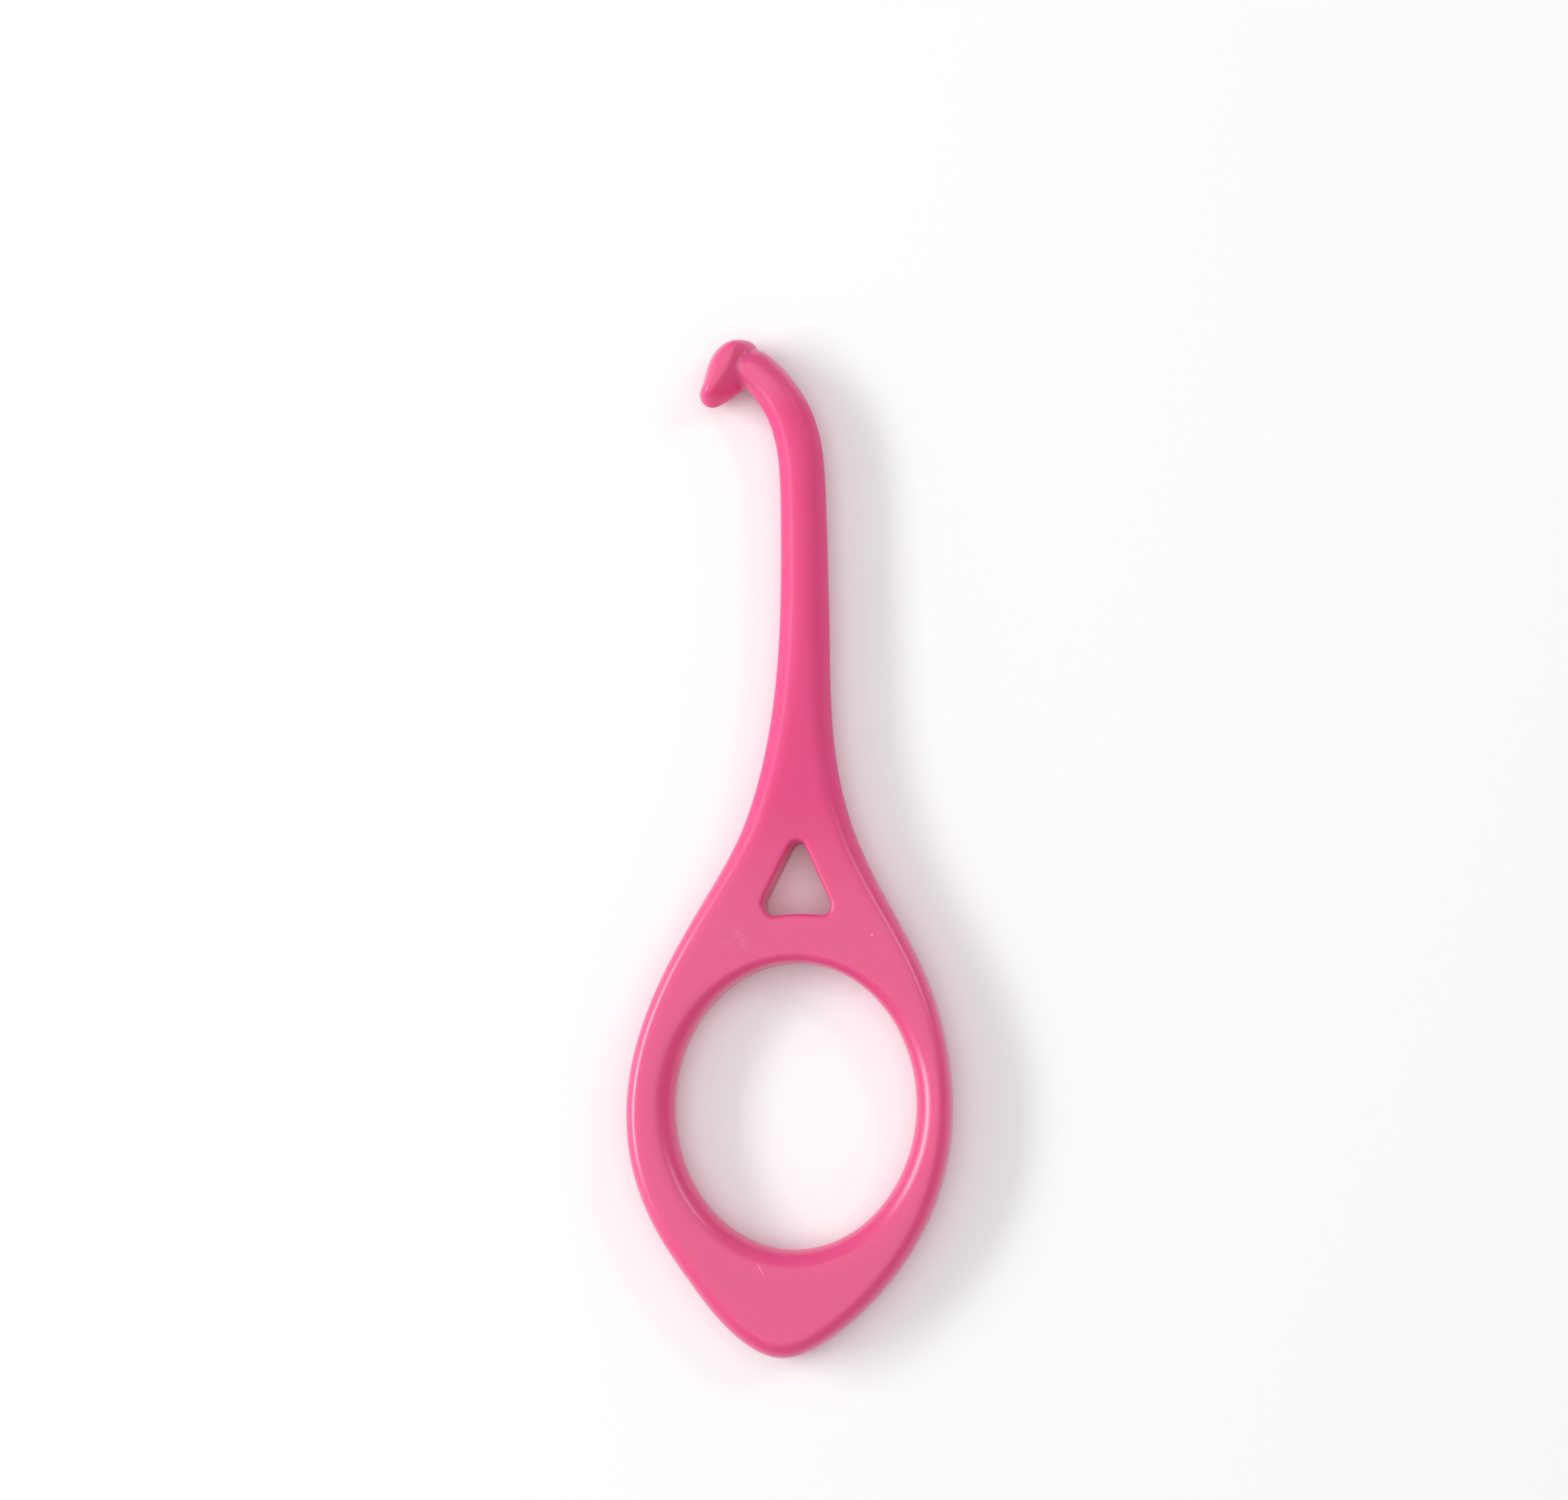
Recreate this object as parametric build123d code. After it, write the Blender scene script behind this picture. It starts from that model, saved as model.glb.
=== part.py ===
"""Removal hook for clear dental aligners and retainers: one injection moulding.

The tool lies on its back.  X runs across the handle, Y from the heel of the finger ring up to the
hook, Z through the thickness.  Dimensions below are measured from the tip of the heel.  The
finished tool is then moved so that its origin is on the ground, in the middle of its footprint.
"""
from build123d import *
import math
import os

os.makedirs("parts", exist_ok=True)

# --- driving dimensions, mm ---------------------------------------------------------------------
THICKNESS = 4.8                 # handle, back to front
MID_Z = THICKNESS / 2
EDGE_RADIUS = 1.75              # rounding of the handle's outline, front and back

HALF_WIDTH = 14.85              # finger ring at its widest
WIDEST_Y = 23.0
YOKE_TOP_Y = 50.0               # here the flat handle passes into the rounded yoke
YOKE_TOP_HALF_WIDTH = 4.4
YOKE_TOP_SLOPE = 0.32           # how fast each side draws in there

HOLE_CENTRE = (0.55, 22.72)     # finger hole: an upright ellipse, a little right of the middle
HOLE_WIDTH = 22.16
HOLE_HEIGHT = 25.9
HOLE_RIM_RADIUS = 1.35

WINDOW_APEX = (0.23, 47.7)      # triangular window in the yoke, before its corners are rounded
WINDOW_BASE_LEFT = (-3.45, 39.8)
WINDOW_BASE_RIGHT = (4.0, 40.0)
WINDOW_BASE_RISE = 0.2          # the base bows upwards a little
WINDOW_APEX_RADIUS = 0.85
WINDOW_CORNER_RADIUS = 0.8
WINDOW_RIM_RADIUS = 0.4

# sides of the handle from the heel's tip, which is at the origin, to the top of the yoke
RIGHT_SIDE = [
    (5.1, 2.4), (9.2, 6.5), (12.4, 11.5), (14.3, 17.0), (HALF_WIDTH, WIDEST_Y),
    (14.05, 29.0), (12.0, 35.0), (8.7, 41.0), (5.97, 46.0), (YOKE_TOP_HALF_WIDTH, YOKE_TOP_Y),
]
LEFT_SIDE = [
    (-4.75, 2.4), (-8.4, 6.5), (-11.9, 11.5), (-14.25, 17.0), (-HALF_WIDTH, WIDEST_Y),
    (-13.85, 29.0), (-11.6, 35.0), (-8.32, 41.0), (-5.75, 46.0), (-YOKE_TOP_HALF_WIDTH, YOKE_TOP_Y),
]

# sections up the yoke, shank and neck:
# centre x, centre y, lean to the left in degrees, width, thickness, corner radius
STEM_SECTIONS = [
    (0.03, 53.0, 0, 7.15, 4.77, 1.9),
    (0.05, 56.0, 0, 6.05, 4.7, 2.05),
    (0.1, 59.5, 0, 5.2, 4.6, 2.15),
    (0.1, 64.0, 1, 4.72, 4.5, 2.15),
    (-0.05, 70.0, 2, 4.43, 4.35, 2.1),
    (-0.28, 76.0, 3, 4.28, 4.25, 2.05),
    (-0.6, 80.3, 8, 4.12, 4.15, 2.0),
    (-1.25, 84.0, 17, 3.97, 4.0, 1.93),
    (-2.75, 87.4, 31, 3.85, 3.9, 1.88),
    (-5.62, 90.18, 47.8, 3.72, 3.8, 1.82),
]
NECK_RUN_IN = 1.4               # how far the neck runs on inside the hook head

# hook head, a foot-shaped cap: sections across it, from heel to toe, over the neck's end
# place along the sole, lowest and highest point above the neck's end, half width
HEAD_SECTIONS = [
    (-1.85, 1.0, 2.1, 0.75),
    (-1.2, 0.6, 2.75, 1.45),
    (0.5, 0.1, 3.48, 2.2),
    (1.9, -0.55, 3.25, 2.25),
    (3.2, -0.5, 2.65, 1.95),
    (4.4, -0.1, 2.02, 1.4),
    (5.2, 0.3, 1.55, 0.85),
]
HEAD_END_RADIUS = 0.45


def handle_plate():
    """Flat handle with a rounded outline: heel, finger ring and lower yoke."""
    down_right = (YOKE_TOP_SLOPE, -1)
    up_left = (YOKE_TOP_SLOPE, 1)
    side = Spline(*reversed(RIGHT_SIDE), (0, 0), *LEFT_SIDE, tangents=[down_right, up_left])
    plate = extrude(make_face([side, Line(side @ 1, side @ 0)]), THICKNESS)
    sides = plate.edges().filter_by(GeomType.BSPLINE)
    return fillet(sides, EDGE_RADIUS)


def neck_direction():
    """Direction of the neck where it enters the hook head."""
    lean = math.radians(STEM_SECTIONS[-1][2])
    return Vector(-math.sin(lean), math.cos(lean))


def stem(plate):
    """Yoke top, shank and curved neck, lofted from the plate's top end through rounded sections."""
    sections = [plate.faces().sort_by(Axis.Y)[-1]]
    for x, y, lean, width, thickness, radius in STEM_SECTIONS:
        across = Vector(math.cos(math.radians(lean)), math.sin(math.radians(lean)))
        plane = Plane((x, y, MID_Z), x_dir=across, z_dir=across.cross(Vector(0, 0, -1)))
        sections.append(plane * RectangleRounded(width, thickness, radius))
    sections.append(Pos(neck_direction() * NECK_RUN_IN) * sections[-1])
    return loft(sections)


def finger_hole(plate):
    """Cut the oval finger hole and round its two rims."""
    hole = extrude(Pos(*HOLE_CENTRE) * Ellipse(HOLE_WIDTH / 2, HOLE_HEIGHT / 2), THICKNESS)
    ring = plate - hole
    rims = ring.edges().filter_by(GeomType.ELLIPSE)
    return fillet(rims, HOLE_RIM_RADIUS)


def window_outline():
    """Triangle with round corners and a base that bows up a little."""
    left_side = Line(WINDOW_BASE_LEFT, WINDOW_APEX)
    right_side = Line(WINDOW_APEX, WINDOW_BASE_RIGHT)
    base_middle = (
        (WINDOW_BASE_LEFT[0] + WINDOW_BASE_RIGHT[0]) / 2,
        (WINDOW_BASE_LEFT[1] + WINDOW_BASE_RIGHT[1]) / 2 + WINDOW_BASE_RISE,
    )
    base = ThreePointArc(WINDOW_BASE_RIGHT, base_middle, WINDOW_BASE_LEFT)
    triangle = make_face([left_side, right_side, base])
    by_height = triangle.vertices().sort_by(Axis.Y)
    triangle = fillet(by_height[:2], WINDOW_CORNER_RADIUS)
    apex = triangle.vertices().sort_by(Axis.Y)[-1]
    return fillet(apex, WINDOW_APEX_RADIUS)


def yoke_window(plate):
    """Cut the triangular window through the yoke and break its rims."""
    opening = window_outline()
    pierced = plate - extrude(opening, THICKNESS)
    reach = opening.bounding_box()
    rims = []
    for edge in pierced.edges():
        box = edge.bounding_box()
        over_window = box.min.Y > reach.min.Y - 0.1 and box.max.Y < reach.max.Y + 0.1
        beside_axis = box.min.X > reach.min.X - 0.1 and box.max.X < reach.max.X + 0.1
        if over_window and beside_axis and box.size.Z < 0.01:
            rims.append(edge)
    return fillet(rims, WINDOW_RIM_RADIUS)


def hook_head():
    """Foot-shaped cap that hooks under the edge of an aligner."""
    up = neck_direction()
    toeward = Vector(-up.Y, up.X)
    end = Vector(STEM_SECTIONS[-1][0], STEM_SECTIONS[-1][1], MID_Z)

    def at(place, height):
        return end + toeward * place + up * height

    sections = []
    for place, low, high, half_width in HEAD_SECTIONS:
        plane = Plane(at(place, (low + high) / 2), x_dir=up, z_dir=toeward)
        sections.append(plane * Ellipse((high - low) / 2, half_width))
    cap = loft(sections)
    ends = cap.faces().filter_by(GeomType.PLANE)
    return fillet(ends.edges(), HEAD_END_RADIUS)


handle = yoke_window(finger_hole(handle_plate()))
tool = handle + stem(handle) + hook_head()
footprint = tool.bounding_box()
tool = Pos(-footprint.center().X, -footprint.center().Y, 0) * tool
export_step(tool, "parts/tool_body.step")
print("tool_body", round(tool.volume), "mm3", tool.bounding_box())
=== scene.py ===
import math

import bpy
import numpy as np
from mathutils import Matrix, Vector, kdtree


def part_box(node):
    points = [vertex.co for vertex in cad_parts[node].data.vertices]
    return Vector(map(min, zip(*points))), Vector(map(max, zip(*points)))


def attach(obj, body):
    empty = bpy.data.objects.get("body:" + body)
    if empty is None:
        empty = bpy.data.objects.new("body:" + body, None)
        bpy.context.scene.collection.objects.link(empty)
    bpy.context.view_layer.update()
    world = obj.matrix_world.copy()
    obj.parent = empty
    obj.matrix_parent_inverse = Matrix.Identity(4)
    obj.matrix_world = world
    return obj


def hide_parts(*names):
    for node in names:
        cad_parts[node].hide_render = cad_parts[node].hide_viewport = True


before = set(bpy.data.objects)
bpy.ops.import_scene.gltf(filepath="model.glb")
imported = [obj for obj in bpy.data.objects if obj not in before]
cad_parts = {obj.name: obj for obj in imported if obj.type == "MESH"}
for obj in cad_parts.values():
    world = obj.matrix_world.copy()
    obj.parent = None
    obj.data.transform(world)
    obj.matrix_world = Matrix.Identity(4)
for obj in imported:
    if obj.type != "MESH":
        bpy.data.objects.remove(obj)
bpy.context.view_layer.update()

# The moulding is shaped in millimetres from the tip of its heel, as in the CAD, and then put where
# the CAD body stands.  It is a smooth closed form, z = 0 on the ground, the same front and back.
NODE_LOW, NODE_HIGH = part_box("tool_body")
MM = 0.001
CENTRE_X = (NODE_LOW[0] + NODE_HIGH[0]) / 2
HEEL_Y = NODE_LOW[1]
THICKNESS = (NODE_HIGH[2] - NODE_LOW[2]) / MM
MID_Z = THICKNESS / 2

# --- shape, mm ------------------------------------------------------------------------------------
CELL = 0.24                     # size of the mesh's quads

HOLE_CENTRE = (0.62, 22.72)
HOLE_HALF_WIDTH = 11.0
HOLE_HALF_HEIGHT = 12.95

# right and left side from the heel's tip to the end of the neck, inside the hook head
RIGHT_SIDE = [
    (5.1, 2.4), (9.2, 6.5), (12.4, 11.5), (14.3, 17.0), (14.85, 23.0), (14.05, 29.0), (12.0, 35.0),
    (8.7, 41.0), (5.5, 47.0), (3.6, 53.0), (2.72, 59.5), (2.38, 66.0), (2.0, 73.0), (1.62, 79.0),
    (0.65, 85.0), (-1.0, 88.35), (-3.25, 90.9), (-5.0, 92.0), (-6.2, 92.0),
]
LEFT_SIDE = [
    (-4.75, 2.4), (-8.4, 6.5), (-11.9, 11.5), (-14.12, 17.0), (-14.72, 23.0), (-13.72, 29.0),
    (-11.45, 35.0), (-8.32, 41.0), (-5.25, 47.0), (-3.5, 53.0), (-2.55, 59.5), (-2.22, 66.0),
    (-2.3, 73.0), (-2.55, 79.0), (-3.5, 84.6), (-4.75, 86.95), (-6.35, 88.6), (-7.4, 89.8),
    (-7.4, 91.0),
]
# triangular window: centre (x, y) and radius of its round corners, and how far the base bows up
WINDOW_CORNERS = [(0.25, 45.8, 0.82), (2.63, 40.83, 0.85), (-1.63, 40.95, 1.15)]
WINDOW_BASE_BOW = 0.15
WINDOW_BOW_REACH = 2.5          # how far up the window the bow fades out

# (distance from the heel, value) up the tool: half thickness, and rounding of the outline
HALF_THICKNESS = [(0, 2.4), (44, 2.4), (62, 2.22), (76, 2.1), (86, 1.95), (93, 1.88)]
OUTLINE_RADIUS = [
    (0, 1.6), (10, 1.55), (20, 1.45), (36, 1.5), (50, 2.0), (60, 2.2), (76, 2.08), (86, 1.88),
    (93, 1.8),
]
HOLE_RADIUS = 2.25              # rounding of the finger hole's rims at its sides and heel
HOLE_RADIUS_TOP = 1.0           # and beside the window
WINDOW_RADIUS = 0.42

# hook head: a pillow over its outline, highest along its ridge; places are (toeward, up the neck)
# from the neck's end, clockwise from the back of the neck
NECK_END = (-5.62, 90.18)
NECK_LEAN = math.radians(47.8)
HEAD_OUTLINE = [
    (-1.72, 0.77), (-1.92, 1.6), (-1.19, 2.82), (-0.1, 3.46), (1.25, 3.54), (2.5, 3.14),
    (4.22, 2.24), (5.0, 1.8), (5.33, 1.05), (5.0, 0.12), (4.35, -0.24), (3.2, -0.56),
    (2.1, -0.72), (0.8, -0.5), (-0.6, 0.1),
]
HEAD_RIDGE = [(-0.3, 2.3), (3.9, 1.08)]
HEAD_HALF_WIDTH = 2.2
HEAD_REACH = 8.0                # no part of the head is farther from the neck's end
HEAD_FAR = 20.0                 # the head's field beyond that reach
HEAD_LEAST_SPAN = 0.5           # these two keep the field finite close to the ridge
HEAD_LEAST_SLOPE = 0.3
HEAD_DOME = 2.0                 # fullness above the ridge; 2 is round, 1 is a straight slope
HEAD_UNDERSIDE = 1.25           # fullness below the ridge
HEAD_RIDGE_RADIUS = 0.3
HEAD_CREASE = 0.3               # softness of the corner between neck and head

# --- marks on the front face, and gloss; mm from the heel's tip, and degrees ----------------------
PALE_PATCH = {"centre": (-5.5, 37.7), "turn": -35, "half_sizes": (2.6, 1.1)}
SPECK = {"centre": (7.3, 38.3), "turn": 0, "half_sizes": (0.17, 0.17)}
SCRATCH = {"centre": (-1.85, 7.9), "turn": -57, "half_sizes": (0.8, 0.08)}
EJECTOR = {"centre": (0.6, 3.05), "turn": 0, "half_sizes": (1.35, 1.35)}
MARK_DEPTH = 2                  # how far a mark's field reaches below the front face
RING_GLOSS, SHANK_GLOSS, HOOK_GLOSS = 0.75, 0.1, 0.85
RING_TO_SHANK = (38, 52)        # the gloss changes between these heights
SHANK_TO_HOOK = (86, 89)

# --- light: each softbox's place and size in metres and its power in watts ------------------------
SOFTBOXES = {
    "overhead": ((0.0, 0.0, 0.8), (0.95, 0.95), 2.6),
    "key": ((-0.75, 0.0, 0.4), (0.9, 0.7), 1.3),
    "left_softbox": ((-0.66, 0.05, 0.37), (0.5, 0.15), 2.9),
    "right_softbox": ((0.5, 0.35, 0.46), (0.3, 0.08), 0.6),
}
WORLD_STRENGTH = 0.39
FLOOR_HALF_SIZE = 1.5


def spline_through(t, values, at, order=0, period=None):
    """Cubic spline through values at knots t, or its first or second derivative.

    The ends are natural, or the spline is closed over a period.
    """
    t, values = np.asarray(t, float), np.asarray(values, float)
    if period is not None:
        t = np.append(t, t[0] + period)
        values = np.concatenate([values, values[:1]])
    count = len(t)
    step = np.diff(t)
    slope = np.diff(values, axis=0) / (step if values.ndim == 1 else step[:, None])
    system = np.eye(count)
    right = np.zeros_like(values)
    for i in range(1, count - 1):
        system[i, i - 1: i + 2] = step[i - 1], 2 * (step[i - 1] + step[i]), step[i]
        right[i] = 6 * (slope[i] - slope[i - 1])
    if period is not None:
        system[-1, 0] = -1
        system[0, [0, 1, -2, -1]] = 2 * step[0], step[0], step[-1], 2 * step[-1]
        right[0] = 6 * (slope[0] - slope[-1])
    bend = np.linalg.solve(system, right)
    i = np.clip(np.searchsorted(t, at, side="right") - 1, 0, count - 2)
    h, a, b = step[i], t[i + 1] - at, at - t[i]
    if values.ndim > 1:
        h, a, b = h[:, None], a[:, None], b[:, None]
    if order == 1:
        change = (bend[i + 1] * b ** 2 - bend[i] * a ** 2) / (2 * h)
        return change + slope[i] - (bend[i + 1] - bend[i]) * h / 6
    if order == 2:
        return (bend[i] * a + bend[i + 1] * b) / h
    cubic = (bend[i] * a ** 3 + bend[i + 1] * b ** 3) / (6 * h)
    from_start = (values[i] / h - bend[i] * h / 6) * a
    from_end = (values[i + 1] / h - bend[i + 1] * h / 6) * b
    return cubic + from_start + from_end


def along(table, at):
    """Smooth curve through a short table, held level beyond its ends."""
    places, values = zip(*table)
    return spline_through(places, values, np.clip(at, places[0], places[-1]))


class ClosedCurve:
    """Smooth closed curve through points given clockwise, with the signed distance from it."""

    def __init__(self, points, spacing=0.12):
        points = np.array(points, float)
        chord = np.linalg.norm(np.roll(points, -1, 0) - points, axis=1)
        knots = np.concatenate([[0], np.cumsum(chord)[:-1]])
        at = np.arange(0, chord.sum(), spacing)
        first = spline_through(knots, points, at, 1, chord.sum())
        second = spline_through(knots, points, at, 2, chord.sum())
        speed = np.linalg.norm(first, axis=1)
        tangents = first / speed[:, None]
        self.points = spline_through(knots, points, at, 0, chord.sum())
        self.normals = np.stack([-tangents[:, 1], tangents[:, 0]], 1)
        self.bends = -(first[:, 0] * second[:, 1] - first[:, 1] * second[:, 0]) / speed ** 3
        self.tree = kdtree.KDTree(len(at))
        for i, (x, y) in enumerate(self.points):
            self.tree.insert((x, y, 0), i)
        self.tree.balance()

    def nearest(self, plan):
        return np.array([self.tree.find((x, y, 0))[1] for x, y in plan])

    def distance(self, plan, nearest):
        """Negative inside; taken from the circle that fits the curve best at the nearest sample."""
        away = plan - self.points[nearest]
        out = (away * self.normals[nearest]).sum(1)
        bend = self.bends[nearest]
        square = (away ** 2).sum(1)
        root = np.sqrt(np.maximum(1 + 2 * bend * out + bend ** 2 * square, 0))
        return (2 * out + bend * square) / (1 + root)


def ellipse_points(centre, half_width, half_height, count=24):
    """Points of an upright ellipse, given clockwise."""
    x, y = centre
    turn = [-2 * math.pi * i / count for i in range(count)]
    return [(x + half_width * math.cos(a), y + half_height * math.sin(a)) for a in turn]


def round_max(a, b, radius):
    """Common part of two solids, with the corner between them rounded."""
    corner = np.hypot(np.maximum(a + radius, 0), np.maximum(b + radius, 0))
    return np.minimum(np.maximum(a, b), -radius) + corner


def soft_min(a, b, reach):
    """Both solids together, with the corner between them filled a little."""
    overlap = np.maximum(reach - np.abs(a - b), 0) / reach
    return np.minimum(a, b) - overlap ** 2 * reach / 4


class RoundTriangle:
    """Window with a round corner about each centre and straight sides that touch them."""

    def __init__(self, corners):
        self.centres = np.array([corner[:2] for corner in corners])
        self.radii = np.array([corner[2] for corner in corners])
        side = np.roll(self.centres, -1, 0) - self.centres
        length = np.linalg.norm(side, axis=1)[:, None]
        lean = (self.radii - np.roll(self.radii, -1))[:, None] / length
        out = np.stack([-side[:, 1], side[:, 0]], 1)
        self.normals = lean * (side / length) + np.sqrt(1 - lean ** 2) * (out / length)

    def distance(self, plan):
        """Negative inside."""
        _, right, left = self.centres
        middle, half_base = (right[0] + left[0]) / 2, (right[0] - left[0]) / 2
        across = 1 - ((plan[:, 0] - middle) / half_base) ** 2
        fade = np.clip(1 - (plan[:, 1] - right[1]) / WINDOW_BOW_REACH, 0, 1)
        bow = WINDOW_BASE_BOW * np.clip(across, 0, 1) * fade
        plan = np.stack([plan[:, 0], plan[:, 1] - bow], 1)
        away = plan[:, None] - self.centres
        result = ((away * self.normals).sum(2) - self.radii).max(1)
        for i in range(3):
            before, after = self.normals[i - 1], self.normals[i]
            past_first = away[:, i, 0] * before[1] - away[:, i, 1] * before[0] > 0
            past_second = away[:, i, 0] * after[1] - away[:, i, 1] * after[0] < 0
            in_corner = past_first & past_second
            result[in_corner] = np.linalg.norm(away[in_corner, i], axis=1) - self.radii[i]
        return result


class Moulding:
    """The tool's shape as a signed distance in millimetres, negative inside."""

    def __init__(self):
        self.outline = ClosedCurve([(0, 0)] + LEFT_SIDE + RIGHT_SIDE[::-1])
        self.hole = ClosedCurve(ellipse_points(HOLE_CENTRE, HOLE_HALF_WIDTH, HOLE_HALF_HEIGHT))
        self.window = RoundTriangle(WINDOW_CORNERS)
        self.head_outline = ClosedCurve(HEAD_OUTLINE, 0.06)

    def nearest(self, plan):
        """Nearest samples of the two long curves, which stay good for small moves."""
        return [curve.nearest(plan) for curve in (self.outline, self.hole)]

    def plan_fields(self, plan, nearest):
        """All that depends on the place in plan only."""
        y = plan[:, 1]
        from_hole = plan - HOLE_CENTRE
        rise = from_hole[:, 1] / np.maximum(np.linalg.norm(from_hole, axis=1), 1)
        fields = {
            "outline": self.outline.distance(plan, nearest[0]),
            "hole": -self.hole.distance(plan, nearest[1]),
            "window": -self.window.distance(plan),
            "half": np.minimum(along(HALF_THICKNESS, y), MID_Z),
            "outline_radius": along(OUTLINE_RADIUS, y),
            "hole_radius": HOLE_RADIUS + (HOLE_RADIUS_TOP - HOLE_RADIUS) * np.maximum(rise, 0) ** 2,
        }
        fields.update(self.head_fields(plan))
        return fields

    def head_fields(self, plan):
        """What the head needs to know of the place in plan.

        head_out is 0 on its ridge and 1 on its outline, head_span is the way from one to the other,
        and head_fullness is how far the head bulges between them.
        """
        from_neck = plan - NECK_END
        near = np.linalg.norm(from_neck, axis=1) < HEAD_REACH
        x, y = from_neck[near].T
        toeward = -math.cos(NECK_LEAN) * x - math.sin(NECK_LEAN) * y
        up_neck = -math.sin(NECK_LEAN) * x + math.cos(NECK_LEAN) * y
        place = np.stack([toeward, up_neck], 1)
        inward = -self.head_outline.distance(place, self.head_outline.nearest(place))
        start, ridge = np.array(HEAD_RIDGE[0]), np.subtract(HEAD_RIDGE[1], HEAD_RIDGE[0])
        away = place - start
        share = np.clip(away @ ridge / (ridge @ ridge), 0, 1)
        from_ridge = away - share[:, None] * ridge
        off = np.linalg.norm(from_ridge, axis=1)
        rise = from_ridge[:, 1] / np.maximum(off, 0.2)
        above = np.clip(0.5 + 0.7 * rise, 0, 1)         # 1 above the ridge, 0 below it
        out = np.full(len(plan), HEAD_FAR)
        span = np.full(len(plan), HEAD_LEAST_SPAN)
        fullness = np.full(len(plan), HEAD_DOME)
        span[near] = np.maximum(off + inward, HEAD_LEAST_SPAN)
        flattened = np.hypot(off, HEAD_RIDGE_RADIUS) - HEAD_RIDGE_RADIUS * inward / span[near]
        out[near] = flattened / span[near]
        fullness[near] = HEAD_UNDERSIDE + (HEAD_DOME - HEAD_UNDERSIDE) * above
        return {"head_out": out, "head_span": span, "head_fullness": fullness}

    def body(self, fields, z):
        """Plate with rounded rims."""
        slab = np.abs(z - MID_Z) - fields["half"]
        solid = round_max(slab, fields["outline"], fields["outline_radius"])
        solid = round_max(solid, fields["hole"], fields["hole_radius"])
        return round_max(solid, fields["window"], WINDOW_RADIUS)

    def head(self, fields, z):
        """Pillow over the outline; its excess divided by its slope is nearly a distance."""
        out, span, fullness = fields["head_out"], fields["head_span"], fields["head_fullness"]
        across = np.abs(z - MID_Z) / HEAD_HALF_WIDTH
        excess = out ** fullness + across ** fullness - 1
        slope_out = out ** (fullness - 1) / span
        slope_across = across ** (fullness - 1) / HEAD_HALF_WIDTH
        slope = fullness * np.hypot(slope_out, slope_across)
        return excess / np.maximum(slope, HEAD_LEAST_SLOPE)

    def solid(self, fields, z):
        return soft_min(self.body(fields, z), self.head(fields, z), HEAD_CREASE)

    def distance(self, points, nearest):
        plan = points[:, :2]
        return self.solid(self.plan_fields(plan, nearest), points[:, 2])


def sample_grid(shape, axes):
    """Signed distance on a block of grid points, with the plan's part worked out once."""
    x, y, z = axes
    plan = np.stack(np.meshgrid(x, y, indexing="ij"), -1).reshape(-1, 2)
    fields = shape.plan_fields(plan, shape.nearest(plan))
    values = np.stack([shape.solid(fields, np.full(len(plan), height)) for height in z], 1)
    return values.reshape(len(x), len(y), len(z))


def surface_net(values, axes):
    """Quads of the zero level, facing out of the solid.

    There is one vertex in each cell that the level crosses, and one face across each crossed edge.
    """
    inside = values < 0
    cells = tuple(n - 1 for n in values.shape)
    total = np.zeros(cells + (3,))
    count = np.zeros(cells)
    faces = []
    low = [a[:-1] for a in axes]
    size = [a[1] - a[0] for a in axes]
    for axis in range(3):
        ahead = [slice(None)] * 3
        behind = [slice(None)] * 3
        ahead[axis], behind[axis] = slice(1, None), slice(None, -1)
        a, b = values[tuple(behind)], values[tuple(ahead)]
        crossed = inside[tuple(behind)] != inside[tuple(ahead)]
        share = np.where(crossed, a / np.where(crossed, a - b, 1), 0)
        others = [i for i in range(3) if i != axis]
        for first in (0, 1):
            for second in (0, 1):
                part = [slice(None)] * 3
                part[others[0]] = slice(first, first + cells[others[0]])
                part[others[1]] = slice(second, second + cells[others[1]])
                here = crossed[tuple(part)]
                count += here
                total[..., axis] += np.where(here, share[tuple(part)], 0)
                total[..., others[0]] += here * first
                total[..., others[1]] += here * second
    used = count > 0
    number = np.full(cells, -1)
    number[used] = np.arange(used.sum())
    place = total[used] / count[used][:, None]
    corner = np.argwhere(used)
    vertices = np.stack([low[i][corner[:, i]] + place[:, i] * size[i] for i in range(3)], 1)
    for axis in range(3):
        others = [(axis + 1) % 3, (axis + 2) % 3]
        inner = [slice(None)] * 3
        inner[others[0]], inner[others[1]] = slice(1, -1), slice(1, -1)
        behind, ahead = list(inner), list(inner)
        behind[axis], ahead[axis] = slice(None, -1), slice(1, None)
        here, there = inside[tuple(behind)], inside[tuple(ahead)]
        for crossed, order in ((here & ~there, (0, 2, 3, 1)), (there & ~here, (0, 1, 3, 2))):
            at = np.argwhere(crossed)
            around = []
            for first in (0, 1):
                for second in (0, 1):
                    cell = at.copy()
                    cell[:, others[0]] += first
                    cell[:, others[1]] += second
                    around.append(number[tuple(cell.T)])
            faces.append(np.stack([around[i] for i in order], 1))
    return vertices, np.concatenate(faces)


def settle(shape, points):
    """Move points along the field's slope onto the zero level, in one Newton step."""
    reach = 0.02                    # half the span over which the slope is measured
    nearest = shape.nearest(points[:, :2])
    here = shape.distance(points, nearest)
    slope = np.empty_like(points)
    for axis in range(3):
        shift = np.zeros(3)
        shift[axis] = reach
        ahead = shape.distance(points + shift, nearest)
        behind = shape.distance(points - shift, nearest)
        slope[:, axis] = (ahead - behind) / (2 * reach)
    steepness = np.maximum((slope ** 2).sum(1), 0.05)
    return points - (here / steepness)[:, None] * slope


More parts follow.
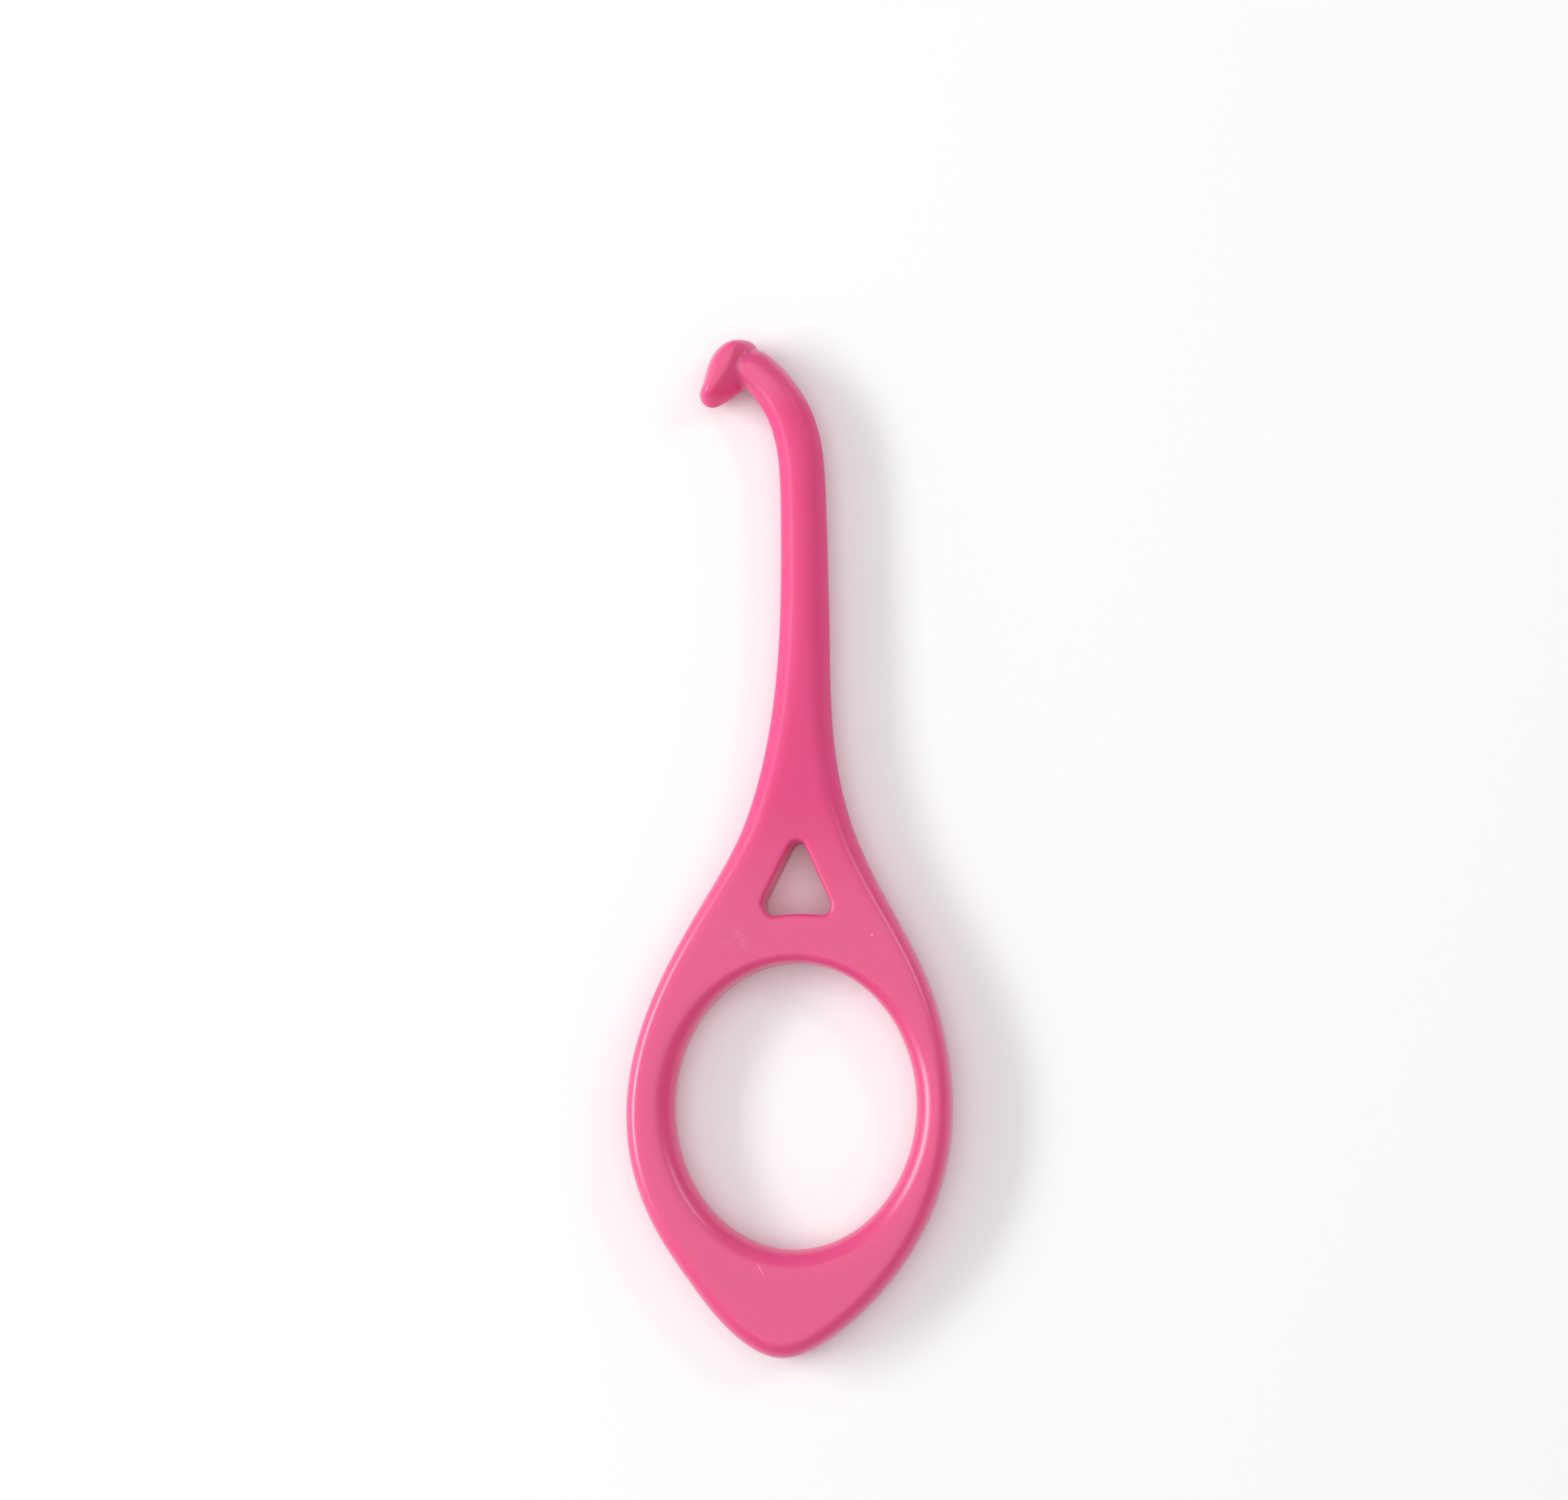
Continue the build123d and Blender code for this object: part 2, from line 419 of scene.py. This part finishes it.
def relax(points, faces):
    """Each vertex halfway to the mean of the vertices beside it, which evens out the quads."""
    ends = np.concatenate([faces[:, [i, (i + 1) % 4]] for i in range(4)])
    total = np.zeros_like(points)
    count = np.zeros(len(points))
    np.add.at(total, ends[:, 0], points[ends[:, 1]])
    np.add.at(count, ends[:, 0], 1)
    return (points + total / count[:, None]) / 2


def make_tool():
    """One seamless mesh of the whole moulding."""
    shape = Moulding()
    block = ((-16.0, 16.0), (-1.0, 94.0), (-0.6, THICKNESS + 0.6))      # a little more than the tool
    axes = [np.arange(start, end, CELL) for start, end in block]
    points, faces = surface_net(sample_grid(shape, axes), axes)
    points = settle(shape, points)
    for _ in range(2):
        points = settle(shape, relax(points, faces))
    points = settle(shape, points)
    points = points * MM + np.array([CENTRE_X, HEEL_Y, NODE_LOW[2]])
    mesh = bpy.data.meshes.new("tool")
    mesh.from_pydata(points.tolist(), [], faces.tolist())
    mesh.polygons.foreach_set("use_smooth", [True] * len(mesh.polygons))
    mesh.update()
    tool = bpy.data.objects.new("tool", mesh)
    bpy.context.scene.collection.objects.link(tool)
    return tool


# --- materials ------------------------------------------------------------------------------------
def node(tree, kind, **inputs):
    made = tree.nodes.new(kind)
    for name, value in inputs.items():
        made.inputs[name.replace("_", " ")].default_value = value
    return made


def link(tree, source, socket):
    tree.links.new(source, socket)


def feed(tree, value, socket):
    """Set a socket to a plain value, or link it to another node's output."""
    if isinstance(value, (int, float, tuple)):
        socket.default_value = value
    else:
        link(tree, value, socket)


def maths(tree, operation, first, second=0.0):
    made = tree.nodes.new("ShaderNodeMath")
    made.operation = operation
    feed(tree, first, made.inputs[0])
    feed(tree, second, made.inputs[1])
    return made.outputs["Value"]


def ramp(tree, value, from_low, from_high, to_low, to_high):
    made = tree.nodes.new("ShaderNodeMapRange")
    made.interpolation_type = "SMOOTHSTEP"
    made.inputs["From Min"].default_value = from_low
    made.inputs["From Max"].default_value = from_high
    made.inputs["To Min"].default_value = to_low
    made.inputs["To Max"].default_value = to_high
    link(tree, value, made.inputs["Value"])
    return made.outputs["Result"]


def mix_colour(tree, factor, first, second):
    made = tree.nodes.new("ShaderNodeMix")
    made.data_type = "RGBA"
    inputs = [socket for socket in made.inputs if socket.type == "RGBA"]
    link(tree, factor, made.inputs["Factor"])
    feed(tree, first, inputs[0])
    feed(tree, second, inputs[1])
    return [socket for socket in made.outputs if socket.type == "RGBA"][0]


def spot(tree, place, centre, turn, half_sizes):
    """1 in the middle of an oval on the front face, fading to 0 at its edge."""
    x, y = centre
    oval = tree.nodes.new("ShaderNodeMapping")
    oval.vector_type = "TEXTURE"
    oval.inputs["Location"].default_value = (CENTRE_X + x * MM, HEEL_Y + y * MM, THICKNESS * MM)
    oval.inputs["Rotation"].default_value = (0, 0, math.radians(turn))
    oval.inputs["Scale"].default_value = (half_sizes[0] * MM, half_sizes[1] * MM, MARK_DEPTH * MM)
    link(tree, place, oval.inputs["Vector"])
    length = tree.nodes.new("ShaderNodeVectorMath")
    length.operation = "LENGTH"
    link(tree, oval.outputs["Vector"], length.inputs[0])
    return ramp(tree, length.outputs["Value"], 0.3, 1.0, 1.0, 0.0)


def pink_plastic():
    """Satin injection-moulded plastic, dyed through."""
    material = bpy.data.materials.new("pink_plastic")
    material.use_nodes = True
    tree = material.node_tree
    shader = tree.nodes["Principled BSDF"]
    shader.inputs["Coat Roughness"].default_value = 0.24
    shader.inputs["Coat IOR"].default_value = 1.6
    shader.inputs["Specular IOR Level"].default_value = 0.5
    shader.inputs["Subsurface Weight"].default_value = 0.8
    shader.inputs["Subsurface Radius"].default_value = (1.0, 0.14, 0.34)
    shader.inputs["Subsurface Scale"].default_value = 0.002
    place = node(tree, "ShaderNodeTexCoord").outputs["Object"]

    # slightly uneven dye, a few millimetres across
    clouds = node(tree, "ShaderNodeTexNoise", Scale=260.0, Detail=3.0, Roughness=0.55)
    link(tree, place, clouds.inputs["Vector"])
    dye = mix_colour(tree, clouds.outputs["Fac"], (0.74, 0.052, 0.22, 1), (0.78, 0.062, 0.25, 1))

    # pale marks: a pale streaky patch left of the window, a speck right of it and a scratch near the
    # heel
    wisps = node(tree, "ShaderNodeTexNoise", Scale=650.0, Detail=2.0, Distortion=0.8)
    link(tree, place, wisps.inputs["Vector"])
    streaks = ramp(tree, wisps.outputs["Fac"], 0.38, 0.7, 0.0, 1.0)
    streaky_patch = maths(tree, "MULTIPLY", spot(tree, place, **PALE_PATCH), streaks)
    faint_patch = maths(tree, "MULTIPLY", streaky_patch, 0.45)
    speck = spot(tree, place, **SPECK)
    scratch = spot(tree, place, **SCRATCH)
    pale = maths(tree, "MAXIMUM", faint_patch, maths(tree, "MAXIMUM", speck, scratch))
    dye = mix_colour(tree, pale, dye, (0.88, 0.24, 0.42, 1))
    link(tree, dye, shader.inputs["Base Color"])

    # gloss of the ring and of the hook head; the shank between them is duller
    split = node(tree, "ShaderNodeSeparateXYZ")
    link(tree, place, split.inputs["Vector"])
    up, depth = split.outputs["Y"], split.outputs["Z"]
    start, end = (HEEL_Y + height * MM for height in RING_TO_SHANK)
    ring = ramp(tree, up, start, end, RING_GLOSS, SHANK_GLOSS)
    start, end = (HEEL_Y + height * MM for height in SHANK_TO_HOOK)
    hook = ramp(tree, up, start, end, SHANK_GLOSS, HOOK_GLOSS)
    gloss = maths(tree, "MAXIMUM", ring, hook)
    link(tree, gloss, shader.inputs["Coat Weight"])
    dullness = ramp(tree, clouds.outputs["Fac"], 0.3, 0.7, 0.60, 0.68)
    roughness = maths(tree, "SUBTRACT", dullness, maths(tree, "MULTIPLY", gloss, 0.2))
    link(tree, roughness, shader.inputs["Roughness"])

    # fine grain of the mould, its parting line, an ejector's ring, and the scratch's groove
    grain = node(tree, "ShaderNodeTexNoise", Scale=3200.0, Detail=2.0)
    link(tree, place, grain.inputs["Vector"])
    off_middle = maths(tree, "ABSOLUTE", maths(tree, "SUBTRACT", depth, MID_Z * MM))
    parting = ramp(tree, off_middle, 0.03 * MM, 0.1 * MM, 3.0, 0.0)
    ejector = spot(tree, place, **EJECTOR)
    from_ring = maths(tree, "ABSOLUTE", maths(tree, "SUBTRACT", ejector, 0.12))
    ejector_ring = ramp(tree, from_ring, 0.0, 0.1, -2.0, 0.0)
    relief = maths(tree, "ADD", grain.outputs["Fac"], parting)
    relief = maths(tree, "ADD", relief, maths(tree, "SUBTRACT", ejector_ring, scratch))
    bump = node(tree, "ShaderNodeBump", Strength=0.2, Distance=0.00006)
    link(tree, relief, bump.inputs["Height"])
    link(tree, bump.outputs["Normal"], shader.inputs["Normal"])
    return material


def floor_paper():
    """Matt white paper."""
    material = bpy.data.materials.new("floor_paper")
    material.use_nodes = True
    shader = material.node_tree.nodes["Principled BSDF"]
    shader.inputs["Base Color"].default_value = (0.97, 0.97, 0.97, 1)
    shader.inputs["Roughness"].default_value = 0.9
    return material


# --- floor, light and camera ----------------------------------------------------------------------
def make_floor():
    half = FLOOR_HALF_SIZE
    mesh = bpy.data.meshes.new("floor")
    corners = [(-half, -half, 0), (half, -half, 0), (half, half, 0), (-half, half, 0)]
    mesh.from_pydata(corners, [], [(0, 1, 2, 3)])
    floor = bpy.data.objects.new("floor", mesh)
    bpy.context.scene.collection.objects.link(floor)
    floor.data.materials.append(floor_paper())


def make_light(name, place, size, power):
    """Softbox that faces the middle of the tool's footprint."""
    data = bpy.data.lights.new(name, "AREA")
    data.shape = "RECTANGLE"
    data.size, data.size_y = size
    data.energy = power
    light = bpy.data.objects.new(name, data)
    bpy.context.scene.collection.objects.link(light)
    light.location = place
    light.rotation_euler = (-Vector(place)).to_track_quat("-Z", "Y").to_euler()


def make_camera():
    """Nearly straight down, a little from the tool's right and heel side."""
    aim = Vector((-0.00147, 0.0086, MID_Z * MM))
    distance = 0.41
    from_right, from_heel, roll = math.radians(6.5), math.radians(5), math.radians(1.8)
    towards = Vector((math.sin(from_right), -math.sin(from_heel), 1)).normalized()
    up = Vector((-math.sin(roll), math.cos(roll), 0))
    right = up.cross(towards).normalized()
    up = towards.cross(right)
    data = bpy.data.cameras.new("camera")
    data.sensor_width = 36
    data.lens = 103
    camera = bpy.data.objects.new("camera", data)
    bpy.context.scene.collection.objects.link(camera)
    turn = Matrix((right, up, towards)).transposed()
    camera.matrix_world = Matrix.Translation(aim + towards * distance) @ turn.to_4x4()
    bpy.context.scene.camera = camera


def make_studio():
    scene = bpy.context.scene
    scene.view_settings.view_transform = "Standard"
    world = bpy.data.worlds.new("studio")
    world.use_nodes = True
    background = world.node_tree.nodes["Background"]
    background.inputs["Color"].default_value = (1, 1, 1, 1)
    background.inputs["Strength"].default_value = WORLD_STRENGTH
    scene.world = world
    for name, (place, size, power) in SOFTBOXES.items():
        make_light(name, place, size, power)


tool = make_tool()
tool.data.materials.append(pink_plastic())
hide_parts("tool_body")
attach(tool, "root")
make_floor()
make_studio()
make_camera()
